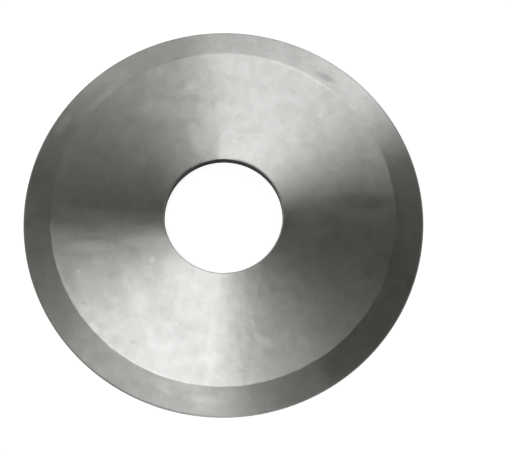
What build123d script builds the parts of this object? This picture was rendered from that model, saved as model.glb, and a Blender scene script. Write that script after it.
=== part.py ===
from build123d import *
import os
from math import radians, tan

# Circular knife: one disc of hardened tool steel, ground flat on both faces and bored for an arbor.
# One wide bevel is ground round its upper face, and a narrow edge bevel, honed steeper, finishes it.
#
# Frame: +Z points up along the axis of the bore. The origin is on that axis, in the back face, which
# the knife lies on with its bevel up. Lengths are in millimetres and angles in degrees.

# Driving dimensions
outer_diameter = 170.0  # across the cutting edge
bore_diameter = 50.0  # between its chamfers, where the arbor seats
thickness = 6.0  # from the back face to the front face
bevel_angle = 25.0  # of the ground bevel, from the back face
edge_bevel_angle = 45.0  # of the edge bevel, from the back face
edge_bevel_width = 0.6  # of the edge bevel, measured along the radius
edge_land = 0.1  # height of the plain band that the honing leaves under the edge bevel
bore_chamfer = 0.5  # legs of the 45 degree chamfer at each end of the bore

# The section is cut by these radii and heights, each worked out from the driving dimensions.
outer_radius = outer_diameter / 2
bore_radius = bore_diameter / 2
edge_bevel_radius = outer_radius - edge_bevel_width
edge_bevel_height = edge_land + edge_bevel_width * tan(radians(edge_bevel_angle))
bevel_width = (thickness - edge_bevel_height) / tan(radians(bevel_angle))
front_face_radius = edge_bevel_radius - bevel_width


def blade_section():
    """Half of the knife's cross-section, from the bore on the left to the cutting edge on the right."""
    back_face = (bore_radius + bore_chamfer, 0), (outer_radius, 0)
    edge_bevel = (outer_radius, edge_land), (edge_bevel_radius, edge_bevel_height)
    front_face = (front_face_radius, thickness), (bore_radius + bore_chamfer, thickness)
    bore_wall = (bore_radius, thickness - bore_chamfer), (bore_radius, bore_chamfer)
    with BuildSketch(Plane.XZ) as section:
        with BuildLine():
            Polyline(*back_face, *edge_bevel, *front_face, *bore_wall, close=True)
        make_face()
    return section.sketch


def knife_disc():
    """The knife, its section turned once round the axis of the bore."""
    return revolve(blade_section(), axis=Axis.Z)


def write_parts(pieces):
    """Writes each piece to its own STEP file, which is named for it."""
    os.makedirs("parts", exist_ok=True)
    for name, piece in pieces.items():
        piece.label = name
        export_step(piece, f"parts/{name}.step")


write_parts({"knife_disc": knife_disc()})
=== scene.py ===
"""A circular slitting knife, ground in rings about its bore, lies bevel up on a white studio table.

The knife is one piece of tool steel. It is turned here ring by ring, as on a lathe, to the rings of
the CAD disc, and each of its surfaces gets the steel that its own grinding left; the colours of the
bore's wall and of the honed edge hold painted shade. Lengths are in metres, in the CAD frame: +Z up
along the bore, the origin on the table at the bore's axis.
"""
from math import atan2, cos, hypot, pi, sin

import bmesh
import bpy
from bpy.props import FloatProperty, IntProperty, PointerProperty, StringProperty
from mathutils import Matrix, Vector, noise


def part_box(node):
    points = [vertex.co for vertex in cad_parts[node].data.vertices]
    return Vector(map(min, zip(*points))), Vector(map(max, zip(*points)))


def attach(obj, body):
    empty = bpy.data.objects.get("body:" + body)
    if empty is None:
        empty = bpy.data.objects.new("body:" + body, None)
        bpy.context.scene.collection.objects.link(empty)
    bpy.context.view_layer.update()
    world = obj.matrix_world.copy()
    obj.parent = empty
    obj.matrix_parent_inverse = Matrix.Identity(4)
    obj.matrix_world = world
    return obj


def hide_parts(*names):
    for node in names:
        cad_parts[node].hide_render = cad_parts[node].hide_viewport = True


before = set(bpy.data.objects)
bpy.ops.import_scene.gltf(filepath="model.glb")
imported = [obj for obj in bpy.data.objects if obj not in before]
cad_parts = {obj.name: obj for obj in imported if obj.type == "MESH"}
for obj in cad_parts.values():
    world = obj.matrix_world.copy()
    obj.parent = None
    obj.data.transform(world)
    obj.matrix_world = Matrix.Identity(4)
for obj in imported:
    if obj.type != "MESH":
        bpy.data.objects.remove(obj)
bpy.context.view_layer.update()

bl_info = {
    "name": "Circular Knife",
    "version": (1, 0, 0),
    "blender": (4, 5, 0),
    "location": "3D View > Sidebar > Circular Knife",
    "description": "Turns and grinds a circular slitting knife and sets it on a studio table",
    "category": "Add Mesh",
}

MM = 0.001
DEGREE = pi / 180
NEAR = 1e-6  # two points nearer than this are one point
POLAR_MAP = "OFBake"  # the name of the disc's polar map; the export bakes through a map of this name, and keeps its directions
LEANS = 0.5  # a surface faces up or down where its normal rises or falls by more than this
# The part of the map's height that goes to the surfaces that face up, down, into the bore and outwards
BANDS = {"up": (0.0, 0.49), "down": (0.5, 0.93), "bore": (0.94, 0.985), "land": (0.99, 1.0)}

RIDGE_STEPS = 4  # facets across the rounding of the ridge
CORNER_STEPS = 2  # facets across the rounding of the other corners
SMOOTH_ANGLE = 2 * DEGREE  # edges that turn less than this are shaded smooth
NICKS = ((3 * MM, 1.0), (9 * MM, 0.8))  # the ridge's nicks: how far apart they are, and how strong
WORN_EVERYWHERE = 0.2  # added to the nicks, so that the ridge is worn a little between them too

NOISE_RANGE = (0.25, 0.75)  # nearly all of a noise lies between these
RING_DRIFT = 3.0  # how much the grinding rings change on their way round
SPOKE_REACH = 60 * MM  # how far outwards a chatter spoke goes before it changes
STAIN_EDGE = 0.008  # how soft a stain's outline is, as a share of its noise
SCUFF_RADIUS = 25 * MM  # the scuffs have their stated length at this distance from the axis
SCUFF_CELLS = 0.5  # places for a scuff, to each of its lengths and widths
SCUFF_FADE = (0.35, 0.15)  # a scuff fades in between these distances from its middle, in places
MARK_DEPTH = 2 * MM  # a mark reaches this far above and below the surface that it is on
MARK_FADE = (1.3, 0.3)  # a mark fades in between these distances from its middle, in half widths
FRAY_WIDTH = 1.5  # of the rags in a mark's outline, in mm
FRAY = 0.35  # how far the rags reach, in half widths
LAID_IN_RINGS = 0.25  # the quarter turn that lays the steel's grooves along the rings
# Each pattern is moved by so many metres, to a part of the noise of its own
SEEDS = {
    "waves": 0.1,
    "film": 0.3,
    "fray": 0.4,
    "pits": 0.4,
    "mottle": 0.5,
    "skin": 0.6,
    "smudges": 0.7,
    "wipes": 0.8,
    "stains": 0.9,
}

TABLE_GAP = 0.01 * MM  # the table lies this far under the back face, so that the two aren't one plane
TABLE_SIDES = 96  # straight sides of the round table
RADIANCE_TO_POWER = 4.0  # an area lamp's watts for each square metre and unit of radiance


# The rings of the CAD disc, which give every size that the disc already has.
def cad_rings():
    """The radius and height of each corner of the CAD disc, as a set of pairs."""
    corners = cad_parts["knife_disc"].data.vertices
    return {(hypot(v.co.x, v.co.y), v.co.z) for v in corners}


def radii_at(height):
    """The radii of the CAD disc's rings at one height, smallest first."""
    return sorted(ring[0] for ring in cad_rings() if abs(ring[1] - height) < NEAR)


def heights_at(radius):
    """The heights of the CAD disc's rings of one radius, lowest first."""
    return sorted(ring[1] for ring in cad_rings() if abs(ring[0] - radius) < NEAR)


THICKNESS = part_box("knife_disc")[1].z
OUTER_RADIUS = radii_at(0)[-1]
FACE_RADIUS = radii_at(THICKNESS)[-1]
BORE_MOUTH_RADIUS = radii_at(THICKNESS)[0]
BORE_RADIUS = min(ring[0] for ring in cad_rings())
CHAMFER = BORE_MOUTH_RADIUS - BORE_RADIUS
LAND_HEIGHT = heights_at(OUTER_RADIUS)[-1]
EDGE_BEVEL_RADIUS = max(ring[0] for ring in cad_rings() if ring[0] < OUTER_RADIUS - NEAR)
EDGE_BEVEL_HEIGHT = heights_at(EDGE_BEVEL_RADIUS)[-1]


# Sizes and colours that a user would change
class KnifeForm(bpy.types.PropertyGroup):
    """The knife's section, from the CAD disc, and how far its corners are broken"""

    outer_radius: FloatProperty(
        name="Outer radius",
        description="From the bore's axis to the cutting edge",
        default=OUTER_RADIUS,
        unit="LENGTH",
    )
    face_radius: FloatProperty(
        name="Face radius",
        description="From the axis to the ridge where the bevel starts",
        default=FACE_RADIUS,
        unit="LENGTH",
    )
    bore_radius: FloatProperty(
        name="Bore radius",
        description="Of the bore's wall, where the arbor seats",
        default=BORE_RADIUS,
        unit="LENGTH",
    )
    thickness: FloatProperty(
        name="Thickness",
        description="From the back face to the front face",
        default=THICKNESS,
        unit="LENGTH",
    )
    chamfer: FloatProperty(
        name="Bore chamfer",
        description="Leg of the chamfer at each end of the bore",
        default=CHAMFER,
        unit="LENGTH",
    )
    edge_bevel_radius: FloatProperty(
        name="Edge bevel radius",
        description="From the axis to the top of the honed edge bevel",
        default=EDGE_BEVEL_RADIUS,
        unit="LENGTH",
    )
    edge_bevel_height: FloatProperty(
        name="Edge bevel height",
        description="Of the top of the honed edge bevel",
        default=EDGE_BEVEL_HEIGHT,
        unit="LENGTH",
    )
    land_height: FloatProperty(
        name="Edge land",
        description="Height of the plain band under the edge bevel",
        default=LAND_HEIGHT,
        unit="LENGTH",
    )
    ridge_break: FloatProperty(
        name="Ridge break",
        description="How far grinding rounds the ridge between face and bevel",
        default=0.2 * MM,
        unit="LENGTH",
    )
    ridge_wear: FloatProperty(
        name="Ridge wear",
        description="How many times wider again the ridge is rounded where it is most worn",
        default=2.5,
        min=0,
    )
    corner_break: FloatProperty(
        name="Corner break",
        description="How far handling rounds the other corners",
        default=0.03 * MM,
        unit="LENGTH",
    )
    facets: IntProperty(
        name="Facets",
        description="Straight sides that stand for the circle",
        default=720,
        min=96,
    )


class SteelFinish(bpy.types.PropertyGroup):
    """Colours, roughness and wear of the steel"""

    steel: StringProperty(
        name="Ground steel",
        description="Colour of the ground faces, as hex",
        default="#C4C4C3",
    )
    # The honed edge's colour is darker than the ground steel as painted shade, which draws a thin dark line
    # round the knife; its honing shows in its roughness.
    edge: StringProperty(
        name="Honed edge",
        description="Colour of the edge bevel and its land, as hex",
        default="#A6A6A4",
    )
    # The bore wall's near-black colour is painted shade for the shadow in the bore.
    wall: StringProperty(
        name="Bore wall",
        description="Colour of the bore's black wall, as hex",
        default="#1C1C1B",
    )
    face_roughness: FloatProperty(
        name="Face roughness",
        description="Of the ground faces",
        default=0.295,
        min=0,
        max=1,
    )
    bevel_roughness: FloatProperty(
        name="Bevel roughness",
        description="Of the ground bevel",
        default=0.3,
        min=0,
        max=1,
    )
    edge_roughness: FloatProperty(
        name="Edge roughness",
        description="Of the honed edge bevel",
        default=0.36,
        min=0,
        max=1,
    )
    ring_pitch: FloatProperty(
        name="Ring pitch",
        description="From one fine grinding ring to the next",
        default=0.12 * MM,
        unit="LENGTH",
    )
    face_ring_depth: FloatProperty(
        name="Face ring depth",
        description="Of the grinding rings on the faces",
        default=0.006 * MM,
        unit="LENGTH",
    )
    bevel_ring_depth: FloatProperty(
        name="Bevel ring depth",
        description="Of the finer grinding rings on the bevel and the edge",
        default=0.0018 * MM,
        unit="LENGTH",
    )
    wave_width: FloatProperty(
        name="Wave width",
        description="Of the shallow waves that handwork leaves",
        default=6 * MM,
        unit="LENGTH",
    )
    wave_depth: FloatProperty(
        name="Wave depth",
        description="Of the shallow waves",
        default=0.03 * MM,
        unit="LENGTH",
    )
    wipe_width: FloatProperty(
        name="Wipe width",
        description="Of the finer waves where a cloth has wiped most",
        default=4 * MM,
        unit="LENGTH",
    )
    wipe_depth: FloatProperty(
        name="Wipe depth",
        description="Of the finer waves",
        default=0.07 * MM,
        unit="LENGTH",
    )
    wipe_reach: FloatProperty(
        name="Wipe reach",
        description="How far to each side of the Y axis the cloth has wiped",
        default=28 * MM,
        unit="LENGTH",
    )
    chatter_marks: FloatProperty(
        name="Chatter marks",
        description="How many faint spokes to a radian",
        default=26,
    )
    chatter_depth: FloatProperty(
        name="Chatter depth",
        description="Of the faint spokes",
        default=0.006 * MM,
        unit="LENGTH",
    )
    film_width: FloatProperty(
        name="Film width",
        description="Of the clouds in the oil film",
        default=5 * MM,
        unit="LENGTH",
    )
    film_swing: FloatProperty(
        name="Film swing",
        description="How much the oil film darkens and lightens the steel",
        default=0.085,
    )
    smudge_width: FloatProperty(
        name="Smudge width",
        description="Of the smudges that roughen and smooth the steel",
        default=16 * MM,
        unit="LENGTH",
    )
    smudge_swing: FloatProperty(
        name="Smudge swing",
        description="How much a smudge adds to the roughness, or takes off it",
        default=0.02,
    )
    stain_width: FloatProperty(
        name="Stain width",
        description="Of the larger dried stains",
        default=15 * MM,
        unit="LENGTH",
    )
    stain_depth: FloatProperty(
        name="Stain depth",
        description="How much the larger stains darken the steel",
        default=0.045,
    )
    fine_stain_width: FloatProperty(
        name="Fine stain width",
        description="Of the smaller dried stains",
        default=5 * MM,
        unit="LENGTH",
    )
    fine_stain_depth: FloatProperty(
        name="Fine stain depth",
        description="How much the smaller stains darken the steel",
        default=0.0315,
    )
    # The band beside the ridge is painted lighter: a painted highlight where the worn ridge catches the
    # light.
    ridge_highlight_width: FloatProperty(
        name="Rub width",
        description="Of the rubbed band beside the ridge",
        default=1.5 * MM,
        unit="LENGTH",
    )
    ridge_highlight: FloatProperty(
        name="Rub",
        description="How much handling brightens the face beside the ridge",
        default=0.13,
    )
    marks: FloatProperty(
        name="Marks",
        description="How strongly the marks of handling show, where 0 hides them",
        default=1,
        min=0,
    )
    scuff_length: FloatProperty(
        name="Scuff length",
        description="Of the short scuffs along the rings, beside the bore",
        default=1 * MM,
        unit="LENGTH",
    )
    scuff_width: FloatProperty(
        name="Scuff width",
        description="Of the short scuffs",
        default=0.5 * MM,
        unit="LENGTH",
    )
    scuff_share: FloatProperty(
        name="Scuff share",
        description="The share of the face's places that have a scuff",
        default=0.04,
        min=0,
        max=1,
    )
    scuff_swing: FloatProperty(
        name="Scuff swing",
        description="How much the scuffs darken and lighten the steel",
        default=0.3,
    )
    speck_spacing: FloatProperty(
        name="Speck spacing",
        description="From one place that can have a speck to the next",
        default=7 * MM,
        unit="LENGTH",
    )
    speck_share: FloatProperty(
        name="Speck share",
        description="The share of those places that have a speck",
        default=0.45,
        min=0,
        max=1,
    )
    speck_size: FloatProperty(
        name="Speck size",
        description="Of the bright specks",
        default=1.6 * MM,
        unit="LENGTH",
    )
    speck_swing: FloatProperty(
        name="Speck swing",
        description="How much the specks lighten the steel",
        default=0.2,
    )
    wall_roughness: FloatProperty(
        name="Wall roughness",
        description="Of the bore's black wall",
        default=0.6,
        min=0,
        max=1,
    )
    wall_roughness_swing: FloatProperty(
        name="Wall roughness swing",
        description="How much the wall's roughness changes from place to place",
        default=0.06,
    )
    wall_shine: FloatProperty(
        name="Wall shine",
        description="How strongly the wall mirrors, where 0.5 is a common plastic",
        default=0.08,
        min=0,
        max=1,
    )
    # The mottle makes the bore wall's painted shade darker and lighter in patches.
    wall_mottle: FloatProperty(
        name="Wall mottle",
        description="How much the wall's black skin darkens and lightens",
        default=0.35,
    )
    wall_mottle_width: FloatProperty(
        name="Wall mottle width",
        description="Of the patches in the wall's black skin",
        default=2 * MM,
        unit="LENGTH",
    )
    wall_roughness_patch_width: FloatProperty(
        name="Wall skin width",
        description="Of the rougher and smoother patches of the wall",
        default=3 * MM,
        unit="LENGTH",
    )
    wall_pit_width: FloatProperty(
        name="Wall pit width",
        description="Of the shallow pits in the wall",
        default=0.8 * MM,
        unit="LENGTH",
    )
    wall_pit_depth: FloatProperty(
        name="Wall pit depth",
        description="Of the shallow pits in the wall",
        default=0.01 * MM,
        unit="LENGTH",
    )


class Studio(bpy.types.PropertyGroup):
    """The camera, the table and the light"""

    camera_distance: FloatProperty(
        name="Camera distance",
        description="From the front face",
        default=680 * MM,
        unit="LENGTH",
    )
    camera_lens: FloatProperty(
        name="Focal length",
        description="In millimetres",
        default=113.35,
        unit="CAMERA",
    )
    camera_tilt: FloatProperty(
        name="Camera tilt",
        description="Away from straight down",
        default=15.75 * DEGREE,
        subtype="ANGLE",
    )
    camera_roll: FloatProperty(
        name="Camera roll",
        description="About the line of sight",
        default=1.81 * DEGREE,
        subtype="ANGLE",
    )
    camera_aside: FloatProperty(
        name="Camera aside",
        description="To the right of the bore",
        default=13.7 * MM,
        unit="LENGTH",
    )
    camera_below: FloatProperty(
        name="Camera below",
        description="Towards the near edge",
        default=4.15 * MM,
        unit="LENGTH",
    )
    table_radius: FloatProperty(
        name="Table radius",
        description="Of the round sheet of paper that the knife lies on",
        default=4,
        unit="LENGTH",
    )
    paper: StringProperty(
        name="Paper",
        description="Colour of the paper where a lamp lights it, as hex",
        default="#B0B0B0",
    )
    paper_glow: FloatProperty(
        name="Paper glow",
        description="Strength of the paper's own white, where 1 is white",
        default=0.85,
    )
    surroundings: StringProperty(
        name="Surroundings",
        description="Colour of the room round the table, as hex",
        default="#F8FFB4",
    )
    surroundings_strength: FloatProperty(
        name="Surroundings strength",
        description="Radiance of the room",
        default=0.027,
    )


# Soft boxes: name, azimuth clockwise from +Y, elevation, distance, width, height, roll, radiance and colour.
# Angles are in degrees and lengths in metres.
SOFT_BOXES = (
    ("overhead", 239.2, 80, 2.6, 1.019, 1.69, 43.9, 2.25, "#FFFFFF"),
    ("back_strip", 333.4, 35.5, 0.556, 0.315, 0.61, -9, 0.4, "#FDFFF9"),
    ("back_wall", 18, 38.5, 3.021, 2.181, 1.577, 13.8, 1.61, "#FFFFFF"),
    ("front_strip", 176, 16.1, 1.124, 1.65, 0.252, 0, 1.0, "#FFFFFF"),
    ("front_strip_middle", 178, 16.1, 1.13, 0.9, 0.252, 0, 0.75, "#FFFFFF"),
    ("front_strip_core", 181, 16.1, 1.136, 0.4, 0.252, 0, 1.3, "#FFFFFF"),
    ("side_strip", 255.3, 57.6, 0.474, 0.324, 0.107, -27.2, 0.652, "#FBFFF0"),
)

# The plainest marks of handling, laid into the steel's colour, and a few that paint shade and highlight:
# azimuth clockwise from +Y, distance from the axis, turn from the ring, length, width and strength. Angles
# are in degrees and lengths in mm. A negative strength darkens.
MARKS = (
    # Broad smears of the oil film on the face. The long one across the rings at 82 degrees is painted shade,
    # and those at 250 and 255 are painted highlight, along the sharp edges of the bright fans.
    (82, 58.5, 84, 30, 9, -0.28),
    (97, 37, -72, 18, 12, 0.2),
    (160, 57, -50, 12, 5, 0.2),
    (183, 57, 90, 42, 5, 0.1),
    (208, 48, -17, 11, 7, -0.07),
    (227, 49, -20, 27, 9, 0.14),
    (244, 69.5, 0, 20, 5, -0.12),
    (250, 35, 79, 22, 7, 0.18),
    (255, 60, 77, 24, 6.5, 0.22),
    (328, 54, -34, 28, 10, 0.12),
    (341, 35, 83, 16, 9, 0.22),
    # Smears on the bevel
    (33, 76.5, 10, 12, 4, -0.25),
    (183, 78.5, 0, 19, 4, 0.17),
    (196, 78, -6, 8, 1.8, 0.17),
    (199, 76, 8, 13, 4, 0.16),
    (205, 80, 17, 6, 3, -0.12),
    (299, 81, 0, 13, 7, 0.25),
    (315, 78, 0, 14, 6, -0.16),
    # Spots and scratches on the face
    (10, 35, 12, 5, 1.2, -0.13),
    (26, 63, -12, 5, 1.2, -0.14),
    (41, 61, -30, 3.5, 2.5, 0.12),
    (111, 66, 48, 5, 3.5, -0.11),
    (164, 60, 0, 4, 1.2, 0.14),
    (168, 54, -45, 3.5, 2.2, 0.12),
    (172, 67, 0, 4, 2, -0.11),
    (213, 66, 9, 3, 1.2, -0.14),
    (226, 72, 0, 8, 3, 0.12),
    (235, 35.5, -24, 3.5, 2.5, 0.17),
    (235, 69.5, 40, 2, 1.6, -0.2),
    (246, 65, 0, 1.6, 1.6, 0.35),
    (339, 42, 0, 4.5, 4.5, 0.14),
    (344, 60, 26, 8, 4.5, 0.13),
    (353, 50, 84, 5, 3, -0.11),
)
RIDGE_HIGHLIGHT = (27, 73, 0, 38, 30)  # the stretch of the ridge that is painted lighter as a highlight, given as a mark is


# Helpers
def linear(hex_colour):
    """An sRGB hex colour as linear red, green, blue and alpha."""
    channels = [int(hex_colour[i : i + 2], 16) / 255 for i in (1, 3, 5)]
    return [c / 12.92 if c <= 0.04045 else ((c + 0.055) / 1.055) ** 2.4 for c in channels] + [1.0]


def add_node(tree, kind, inputs=None, **settings):
    """Adds a node with its settings. An input given a socket is linked to it, any other is set."""
    node = tree.nodes.new(kind)
    for name, value in settings.items():
        setattr(node, name, value)
    for name, value in (inputs or {}).items():
        if isinstance(value, bpy.types.NodeSocket):
            tree.links.new(value, node.inputs[name])
        else:
            node.inputs[name].default_value = value
    return node


def new_material(name):
    """An empty node material and its tree."""
    material = bpy.data.materials.new(name)
    material.use_nodes = True
    material.node_tree.nodes.clear()
    return material, material.node_tree


def maths(tree, operation, *values):
    """The outcome of one operation on numbers and sockets."""
    return add_node(tree, "ShaderNodeMath", dict(enumerate(values)), operation=operation).outputs[0]


def ranged(tree, value, low, high, to_low=0, to_high=1, soft=False):
    """A value brought from between low and high to between two others, and held there."""
    return add_node(
        tree,
        "ShaderNodeMapRange",
        {"Value": value, "From Min": low, "From Max": high, "To Min": to_low, "To Max": to_high},
        interpolation_type="SMOOTHSTEP" if soft else "LINEAR",
    ).outputs[0]


def place_along(tree, axes):
    """The place on the knife, with only its measures along these axes."""
    place = add_node(tree, "ShaderNodeTexCoord").outputs["Object"]
    return add_node(tree, "ShaderNodeVectorMath", {0: place, 1: axes}, operation="MULTIPLY").outputs[0]


def length_of(tree, vector):
    """The length of a vector."""
    return add_node(tree, "ShaderNodeVectorMath", {0: vector}, operation="LENGTH").outputs["Value"]


def scaled(tree, vector, scale):
    """A vector made so many times longer."""
    return add_node(tree, "ShaderNodeVectorMath", {0: vector, "Scale": scale}, operation="SCALE").outputs[0]


def noise_at(tree, where, scale, detail, grain):
    """Noise from nothing to one. The grain is the share of its finer patches."""
    return add_node(
        tree, "ShaderNodeTexNoise", {"Vector": where, "Scale": scale, "Detail": detail, "Roughness": grain}
    ).outputs["Fac"]


# Patterns of the ground surface
def around_and_outward(tree, around, outward):
    """Coordinates that run round the bore and outwards from it, scaled by a number and by 1 over metres."""
    flat = place_along(tree, (1, 1, 0))
    direction = add_node(tree, "ShaderNodeVectorMath", {0: flat}, operation="NORMALIZE").outputs[0]
    turned = scaled(tree, direction, around)
    distance = maths(tree, "MULTIPLY", length_of(tree, flat), outward)
    rise = add_node(tree, "ShaderNodeCombineXYZ", {"Z": distance}).outputs[0]
    return add_node(tree, "ShaderNodeVectorMath", {0: turned, 1: rise}, operation="ADD").outputs[0]


def grinding_rings(tree, pitch):
    """Heights of the fine rings that the grinding wheel leaves, a pitch apart."""
    return noise_at(tree, around_and_outward(tree, RING_DRIFT, 1 / pitch), 1, detail=3, grain=0.6)


def chatter(tree, spokes):
    """Heights of the faint spokes that the chattering wheel leaves, about so many to a radian."""
    return noise_at(tree, around_and_outward(tree, spokes, 1 / SPOKE_REACH), 1, detail=2, grain=0.5)


def clouds(tree, width, seed, detail=1, grain=0.45):
    """Soft patches about so wide, from nothing to one."""
    place = add_node(tree, "ShaderNodeTexCoord").outputs["Object"]
    moved = add_node(tree, "ShaderNodeMapping", {"Vector": place, "Location": (seed, seed, 0)}).outputs[0]
    return noise_at(tree, moved, 1 / width, detail, grain)


def cloudy(tree, width, seed, middle, swing, detail=1, grain=0.45):
    """A value that swings to either side of a middle in soft patches about so wide."""
    patches = clouds(tree, width, seed, detail, grain)
    return ranged(tree, patches, *NOISE_RANGE, middle - swing, middle + swing)


def stains(tree, width, seed):
    """A mask of patches about so wide, with ragged edges, where a liquid dried."""
    shape = clouds(tree, width, seed, detail=4, grain=0.55)
    return ranged(tree, shape, 0.5 - STAIN_EDGE, 0.5 + STAIN_EDGE, soft=True)


def wiped(tree, reach):
    """A mask of the band along the Y axis, so far to each side, that a wiping cloth has worked most."""
    return ranged(tree, length_of(tree, place_along(tree, (1, 0, 0))), reach, reach / 3, soft=True)


def mark(tree, form, ragged, azimuth, radius, turn, length, width):
    """A mask of one mark: where it lies on the front, its turn from the ring, its length and its width."""
    down_the_bevel = (radius * MM - form.face_radius) / (form.edge_bevel_radius - form.face_radius)
    height = form.thickness - max(down_the_bevel, 0) * (form.thickness - form.edge_bevel_height)
    around = azimuth * DEGREE
    local = add_node(
        tree,
        "ShaderNodeMapping",
        {
            "Vector": add_node(tree, "ShaderNodeTexCoord").outputs["Object"],
            "Location": (radius * MM * sin(around), radius * MM * cos(around), height),
            "Rotation": (0, 0, turn * DEGREE - around),
            "Scale": (length / 2 * MM, width / 2 * MM, MARK_DEPTH),
        },
        vector_type="TEXTURE",
    ).outputs[0]
    # A broad mark frays no further than a narrow one, so it frays by a smaller share of its width.
    frayed = maths(tree, "MULTIPLY_ADD", ragged, min(1, FRAY_WIDTH / width), length_of(tree, local))
    return ranged(tree, frayed, *MARK_FADE, soft=True)


def ridge_painted_highlight(tree, form, ragged, width):
    """A mask of the band inside the ridge, so wide, painted lighter as a highlight where the worn ridge
    catches the light.
    """
    radius = length_of(tree, place_along(tree, (1, 1, 0)))
    band = ranged(tree, radius, form.face_radius - width, form.face_radius - width / 2)
    return maths(tree, "MULTIPLY", band, mark(tree, form, ragged, *RIDGE_HIGHLIGHT))


def specks(tree, spacing, size, share):
    """A mask of small soft specks: so far apart, so wide, in this share of the places."""
    place = add_node(tree, "ShaderNodeTexCoord").outputs["Object"]
    cell = add_node(tree, "ShaderNodeTexVoronoi", {"Vector": place, "Scale": 1 / spacing})
    near = ranged(tree, cell.outputs["Distance"], size / spacing / 2, 0)
    chance = add_node(tree, "ShaderNodeSeparateColor", {0: cell.outputs["Color"]}).outputs[0]
    return maths(tree, "MULTIPLY", near, maths(tree, "LESS_THAN", chance, share))


def scuffs(tree, length, width, share):
    """Short scuffs along the rings: minus a half to a half where there is one, nothing elsewhere."""
    where = around_and_outward(tree, SCUFF_RADIUS / length, 1 / width)
    cell = add_node(tree, "ShaderNodeTexVoronoi", {"Vector": where, "Scale": SCUFF_CELLS})
    near = ranged(tree, cell.outputs["Distance"], *SCUFF_FADE)
    chance = add_node(tree, "ShaderNodeSeparateColor", {0: cell.outputs["Color"]}).outputs
    scuff = maths(tree, "MULTIPLY", near, maths(tree, "LESS_THAN", chance[0], share))
    return maths(tree, "MULTIPLY", scuff, maths(tree, "SUBTRACT", chance[1], 0.5))


def relief(tree, *layers):
    """The normal of a surface with these layers of heights, each a pair of heights and a depth in metres."""
    inputs = {"Strength": 1.0}
    for heights, depth in layers:
        inputs.update({"Height": heights, "Distance": depth})
        inputs["Normal"] = add_node(tree, "ShaderNodeBump", inputs).outputs["Normal"]
    return inputs["Normal"]


def shaded(tree, colour, shade):
    """A hex colour made lighter or darker by a shade about one."""
    return scaled(tree, linear(colour)[:3], shade)


# Materials
def ground_steel(name, colour, roughness, ring_depth, form, finish, on_face=False):
    """Hardened tool steel, ground in rings about the bore."""
    # Each ring mirrors the light along its own radius, so the grey satin shines in fans that open
    # from the bore and turn as the eye moves. A thin oil film, dried stains, specks, scuffs and the marks of
    # handling cloud it, and a few marks and the band inside the ridge are painted shade and highlight. The
    # honed edge is duller, and its colour is darkened as painted shade, so it draws a thin dark line round
    # the bevel.
    material, tree = new_material(name)
    tangent = add_node(tree, "ShaderNodeTangent", direction_type="RADIAL", axis="Z").outputs[0]
    cloth = clouds(tree, finish.wipe_width, SEEDS["wipes"], detail=3, grain=0.5)
    wipes = maths(tree, "MULTIPLY", cloth, wiped(tree, finish.wipe_reach))
    # A fine wheel leaves rings about 0.03 mm apart. They are drawn coarser, as a render can't hold them.
    normal = relief(
        tree,
        (clouds(tree, finish.wave_width, SEEDS["waves"]), finish.wave_depth),
        (wipes, finish.wipe_depth),
        (chatter(tree, finish.chatter_marks), finish.chatter_depth),
        (grinding_rings(tree, finish.ring_pitch), ring_depth),
    )
    layers = [
        (scuffs(tree, finish.scuff_length, finish.scuff_width, finish.scuff_share), finish.scuff_swing),
        (specks(tree, finish.speck_spacing, finish.speck_size, finish.speck_share), finish.speck_swing),
        (stains(tree, finish.stain_width, SEEDS["stains"]), -finish.stain_depth),
        (stains(tree, finish.fine_stain_width, SEEDS["stains"]), -finish.fine_stain_depth),
    ]
    ragged = cloudy(tree, FRAY_WIDTH * MM, SEEDS["fray"], 0, FRAY, detail=3)
    if on_face:
        layers.append((ridge_painted_highlight(tree, form, ragged, finish.ridge_highlight_width), finish.ridge_highlight))
    for azimuth, radius, turn, length, width, strength in MARKS:
        if (radius * MM < form.face_radius) == on_face:
            mask = mark(tree, form, ragged, azimuth, radius, turn, length, width)
            layers.append((mask, strength * finish.marks))
    # The clean steel starts lighter by what the stains take off on the average, as they cover half of it.
    clean = 1 + (finish.stain_depth + finish.fine_stain_depth) / 2
    shade = cloudy(tree, finish.film_width, SEEDS["film"], clean, finish.film_swing, detail=4, grain=0.66)
    for mask, strength in layers:
        shade = maths(tree, "MULTIPLY_ADD", mask, strength, shade)
    steel = add_node(
        tree,
        "ShaderNodeBsdfPrincipled",
        {
            "Base Color": shaded(tree, colour, shade),
            "Metallic": 1.0,
            "Roughness": cloudy(tree, finish.smudge_width, SEEDS["smudges"], roughness, finish.smudge_swing),
            "Anisotropic": 1.0,
            "Anisotropic Rotation": LAID_IN_RINGS,
            "Normal": normal,
            "Tangent": tangent,
        },
    )
    add_node(tree, "ShaderNodeOutputMaterial", {"Surface": steel.outputs["BSDF"]})
    return material


def bore_wall_painted_shade_steel(finish):
    """The bore's wall, coloured nearly black as painted shade for the shadow that fills the bore."""
    # The black is painted shade: faintly mottled, with hardly a shine even at a glancing angle.
    material, tree = new_material("bore_wall_painted_shade_steel")
    mottle = cloudy(tree, finish.wall_mottle_width, SEEDS["mottle"], 1, finish.wall_mottle, detail=3)
    pits = clouds(tree, finish.wall_pit_width, SEEDS["pits"], detail=3)
    rough, swing = finish.wall_roughness, finish.wall_roughness_swing
    steel = add_node(
        tree,
        "ShaderNodeBsdfPrincipled",
        {
            "Base Color": shaded(tree, finish.wall, mottle),
            "Roughness": cloudy(tree, finish.wall_roughness_patch_width, SEEDS["skin"], rough, swing),
            "Specular IOR Level": finish.wall_shine,
            "Normal": relief(tree, (pits, finish.wall_pit_depth)),
        },
    )
    add_node(tree, "ShaderNodeOutputMaterial", {"Surface": steel.outputs["BSDF"]})
    return material


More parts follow.
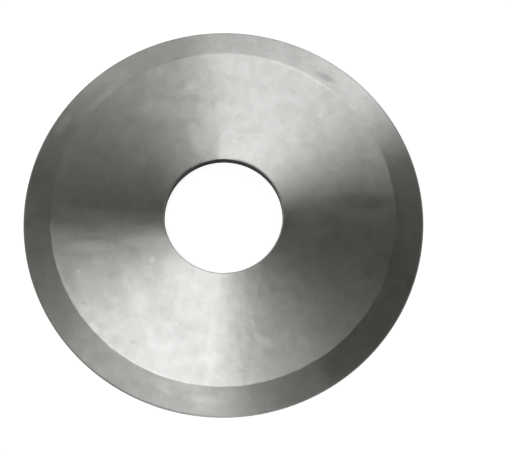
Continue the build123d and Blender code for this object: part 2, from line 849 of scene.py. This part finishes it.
def table_paper(studio):
    """Matt white background paper."""
    # It is plain white to the eye, in the steel and through the bore, and takes the knife's soft shadow.
    material, tree = new_material("table_paper")
    path = add_node(tree, "ShaderNodeLightPath").outputs
    seen = path["Is Camera Ray"]
    for ray in ("Is Glossy Ray", "Is Transmission Ray"):
        seen = maths(tree, "MAXIMUM", seen, path[ray])
    strength = maths(tree, "MULTIPLY", seen, studio.paper_glow)
    glow = add_node(tree, "ShaderNodeEmission", {"Color": linear("#FFFFFF"), "Strength": strength})
    paper = add_node(tree, "ShaderNodeBsdfDiffuse", {"Color": linear(studio.paper)})
    both = add_node(tree, "ShaderNodeAddShader", {0: glow.outputs[0], 1: paper.outputs[0]})
    add_node(tree, "ShaderNodeOutputMaterial", {"Surface": both.outputs[0]})
    return material


# The knife
FACE, BEVEL, WALL, EDGE = range(4)  # the order of the disc's materials


def section(form):
    """The rings of the knife's section as radius and height, once round from the back face's inner ring."""
    mouth = form.bore_radius + form.chamfer
    return [
        (mouth, 0),
        (form.outer_radius, 0),
        (form.outer_radius, form.land_height),
        (form.edge_bevel_radius, form.edge_bevel_height),
        (form.face_radius, form.thickness),
        (mouth, form.thickness),
        (form.bore_radius, form.thickness - form.chamfer),
        (form.bore_radius, form.chamfer),
        (mouth, 0),
    ]


def turn_rings(rings, facets):
    """A closed shell that joins one ring to the next, each extruded from the one before it."""
    radius, height = rings[0]
    bpy.ops.object.select_all(action="DESELECT")
    bpy.ops.mesh.primitive_circle_add(
        vertices=facets, radius=radius, location=(0, 0, height), calc_uvs=False
    )
    bpy.ops.object.transform_apply()
    bpy.ops.object.mode_set(mode="EDIT")
    bpy.ops.mesh.select_all(action="SELECT")
    for next_radius, next_height in rings[1:]:
        bpy.ops.mesh.extrude_edges_move()
        grow = next_radius / radius
        bpy.ops.transform.resize(value=(grow, grow, 1), center_override=(0, 0, 0))
        bpy.ops.transform.translate(value=(0, 0, next_height - height))
        radius, height = next_radius, next_height
    bpy.ops.mesh.select_all(action="SELECT")
    bpy.ops.mesh.remove_doubles(threshold=NEAR)
    bpy.ops.mesh.normals_make_consistent(inside=False)
    bpy.ops.object.mode_set(mode="OBJECT")
    return bpy.context.object


def break_rings(disc, rings, width, segments):
    """Rounds the edges that lie on these rings."""
    bpy.ops.object.mode_set(mode="EDIT")
    bpy.ops.mesh.select_mode(type="EDGE")
    bpy.ops.mesh.select_all(action="DESELECT")
    mesh = bmesh.from_edit_mesh(disc.data)
    for edge in mesh.edges:
        ends = [(v.co.xy.length, v.co.z) for v in edge.verts]
        edge.select = any(all(hypot(r - ring[0], z - ring[1]) < NEAR for r, z in ends) for ring in rings)
    bmesh.update_edit_mesh(disc.data)
    bpy.ops.mesh.bevel(offset=width, segments=segments, affect="EDGES")
    bpy.ops.object.mode_set(mode="OBJECT")


def wear_ridge(disc, form):
    """Nicks the ridge: its rounding swells about the ridge's sharp corner, here and there."""
    for corner in disc.data.vertices:
        spot = corner.co
        ridge = Vector((*(spot.xy.normalized() * form.face_radius), form.thickness))
        if (spot - ridge).length < form.ridge_break + NEAR:
            wear = sum(weight * noise.noise(ridge / apart) for apart, weight in NICKS) + WORN_EVERYWHERE
            swell = 1 + form.ridge_wear * min(max(wear, 0), 1)
            corner.co = ridge + (spot - ridge) * swell


def polar_map(disc, form):
    """Unrolls the disc for the export: once round it across the map, with a band for each way it faces."""
    mesh = disc.data
    layer = mesh.uv_layers.new(name=POLAR_MAP)
    wide = form.outer_radius - form.bore_radius
    for face in mesh.polygons:
        spots = [mesh.vertices[mesh.loops[i].vertex_index].co for i in face.loop_indices]
        # Rounded, so that a spot just under a whole turn counts as none
        turns = [round(atan2(spot.y, spot.x) / (2 * pi), 6) % 1 for spot in spots]
        crosses = max(turns) - min(turns) > 0.5
        if face.normal.z > LEANS:
            band, rises = "up", [(form.outer_radius - spot.xy.length) / wide for spot in spots]
        elif face.normal.z < -LEANS:
            band, rises = "down", [(spot.xy.length - form.bore_radius) / wide for spot in spots]
        elif face.center.xy.length < form.face_radius:
            band, rises = "bore", [1 - spot.z / form.thickness for spot in spots]
        else:
            band, rises = "land", [spot.z / form.edge_bevel_height for spot in spots]
        low, high = BANDS[band]
        for i, turn, rise in zip(face.loop_indices, turns, rises):
            layer.data[i].uv = (turn + 1 if crosses and turn < 0.5 else turn, low + (high - low) * rise)


class KNIFE_OT_disc(bpy.types.Operator):
    """Turns the knife from its section and grinds each of its surfaces"""

    bl_idname = "knife.disc"
    bl_label = "Knife disc"

    def execute(self, context):
        form = context.scene.knife_form
        finish = context.scene.knife_finish
        rings = section(form)
        disc = turn_rings(rings, form.facets)
        disc.name = "ground_knife"
        ridge = (form.face_radius, form.thickness)
        break_rings(disc, [ridge], form.ridge_break, RIDGE_STEPS)
        wear_ridge(disc, form)
        corners = [ring for ring in rings[:-1] if ring != ridge]
        break_rings(disc, corners, form.corner_break, CORNER_STEPS)
        bpy.ops.object.shade_smooth_by_angle(angle=SMOOTH_ANGLE)
        on_face = (finish.steel, finish.face_roughness, finish.face_ring_depth)
        on_bevel = (finish.steel, finish.bevel_roughness, finish.bevel_ring_depth)
        on_edge = (finish.edge, finish.edge_roughness, finish.bevel_ring_depth)
        steels = (
            ground_steel("ground_face_steel", *on_face, form, finish, on_face=True),
            ground_steel("ground_bevel_steel", *on_bevel, form, finish),
            bore_wall_painted_shade_steel(finish),
            ground_steel("honed_edge_painted_shade_steel", *on_edge, form, finish),
        )
        for steel in steels:
            disc.data.materials.append(steel)
        for face in disc.data.polygons:
            radius = face.center.xy.length
            if radius < form.bore_radius + form.corner_break:
                face.material_index = WALL
            elif radius > form.edge_bevel_radius:
                face.material_index = EDGE
            elif radius > form.face_radius:
                face.material_index = BEVEL
            else:
                face.material_index = FACE
        polar_map(disc, form)
        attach(disc, "root")
        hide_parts("knife_disc")
        return {"FINISHED"}


# The stage
def soft_box(name, azimuth, elevation, distance, width, height, roll, radiance, colour):
    """A rectangular lamp that faces the knife, with its own roll about that line."""
    lamp = bpy.data.lights.new(name, "AREA")
    lamp.shape = "RECTANGLE"
    lamp.size, lamp.size_y = width, height
    lamp.energy = radiance * width * height * RADIANCE_TO_POWER
    lamp.color = linear(colour)[:3]
    box = bpy.data.objects.new(name, lamp)
    bpy.context.scene.collection.objects.link(box)
    around, up, turn = (angle * DEGREE for angle in (azimuth, elevation, roll))
    aim = Vector((sin(around) * cos(up), cos(around) * cos(up), sin(up)))
    across = Vector((0, 0, 1)).cross(aim).normalized()
    upward = aim.cross(across)
    facing = Matrix((across, upward, aim)).transposed().to_4x4()
    box.matrix_world = Matrix.Translation(aim * distance) @ facing @ Matrix.Rotation(turn, 4, "Z")
    box.visible_camera = False


class KNIFE_OT_stage(bpy.types.Operator):
    """Sets the table, the light and the camera"""

    bl_idname = "knife.stage"
    bl_label = "Stage"

    def execute(self, context):
        studio = context.scene.knife_studio
        bpy.ops.object.select_all(action="DESELECT")
        bpy.ops.mesh.primitive_circle_add(
            vertices=TABLE_SIDES, radius=studio.table_radius, fill_type="NGON", location=(0, 0, -TABLE_GAP)
        )
        table = context.object
        table.name = "table"
        table.data.materials.append(table_paper(studio))
        for box in SOFT_BOXES:
            soft_box(*box)
        world = bpy.data.worlds.new("room")
        world.use_nodes = True
        tree = world.node_tree
        tree.nodes.clear()
        sky = add_node(
            tree,
            "ShaderNodeBackground",
            {"Color": linear(studio.surroundings), "Strength": studio.surroundings_strength},
        )
        add_node(tree, "ShaderNodeOutputWorld", {"Surface": sky.outputs[0]})
        context.scene.world = world
        camera = bpy.data.objects.new("camera", bpy.data.cameras.new("camera"))
        context.scene.collection.objects.link(camera)
        camera.data.lens = studio.camera_lens
        face_centre = Matrix.Translation((0, 0, THICKNESS))
        turn = Matrix.Rotation(studio.camera_tilt, 4, "X") @ Matrix.Rotation(studio.camera_roll, 4, "Z")
        place = Matrix.Translation((studio.camera_aside, -studio.camera_below, studio.camera_distance))
        camera.matrix_world = face_centre @ turn @ place
        context.scene.camera = camera
        context.scene.view_settings.view_transform = "Standard"
        return {"FINISHED"}


class KNIFE_PT_panel(bpy.types.Panel):
    """Lists the pieces and the stage"""

    bl_idname = "KNIFE_PT_panel"
    bl_label = "Circular Knife"
    bl_space_type = "VIEW_3D"
    bl_region_type = "UI"
    bl_category = "Circular Knife"

    def draw(self, context):
        scene = context.scene
        pieces = (
            ("knife.disc", (scene.knife_form, scene.knife_finish)),
            ("knife.stage", (scene.knife_studio,)),
        )
        for operator, groups in pieces:
            self.layout.operator(operator)
            for group in groups:
                for name in group.__annotations__:
                    self.layout.prop(group, name)


CLASSES = (KnifeForm, SteelFinish, Studio, KNIFE_OT_disc, KNIFE_OT_stage, KNIFE_PT_panel)


def register():
    for cls in CLASSES:
        bpy.utils.register_class(cls)
    bpy.types.Scene.knife_form = PointerProperty(type=KnifeForm)
    bpy.types.Scene.knife_finish = PointerProperty(type=SteelFinish)
    bpy.types.Scene.knife_studio = PointerProperty(type=Studio)


def unregister():
    del bpy.types.Scene.knife_studio
    del bpy.types.Scene.knife_finish
    del bpy.types.Scene.knife_form
    for cls in reversed(CLASSES):
        bpy.utils.unregister_class(cls)


def main():
    """Makes the knife and its stage."""
    register()
    bpy.ops.knife.disc()
    bpy.ops.knife.stage()


if __name__ == "__main__":
    main()
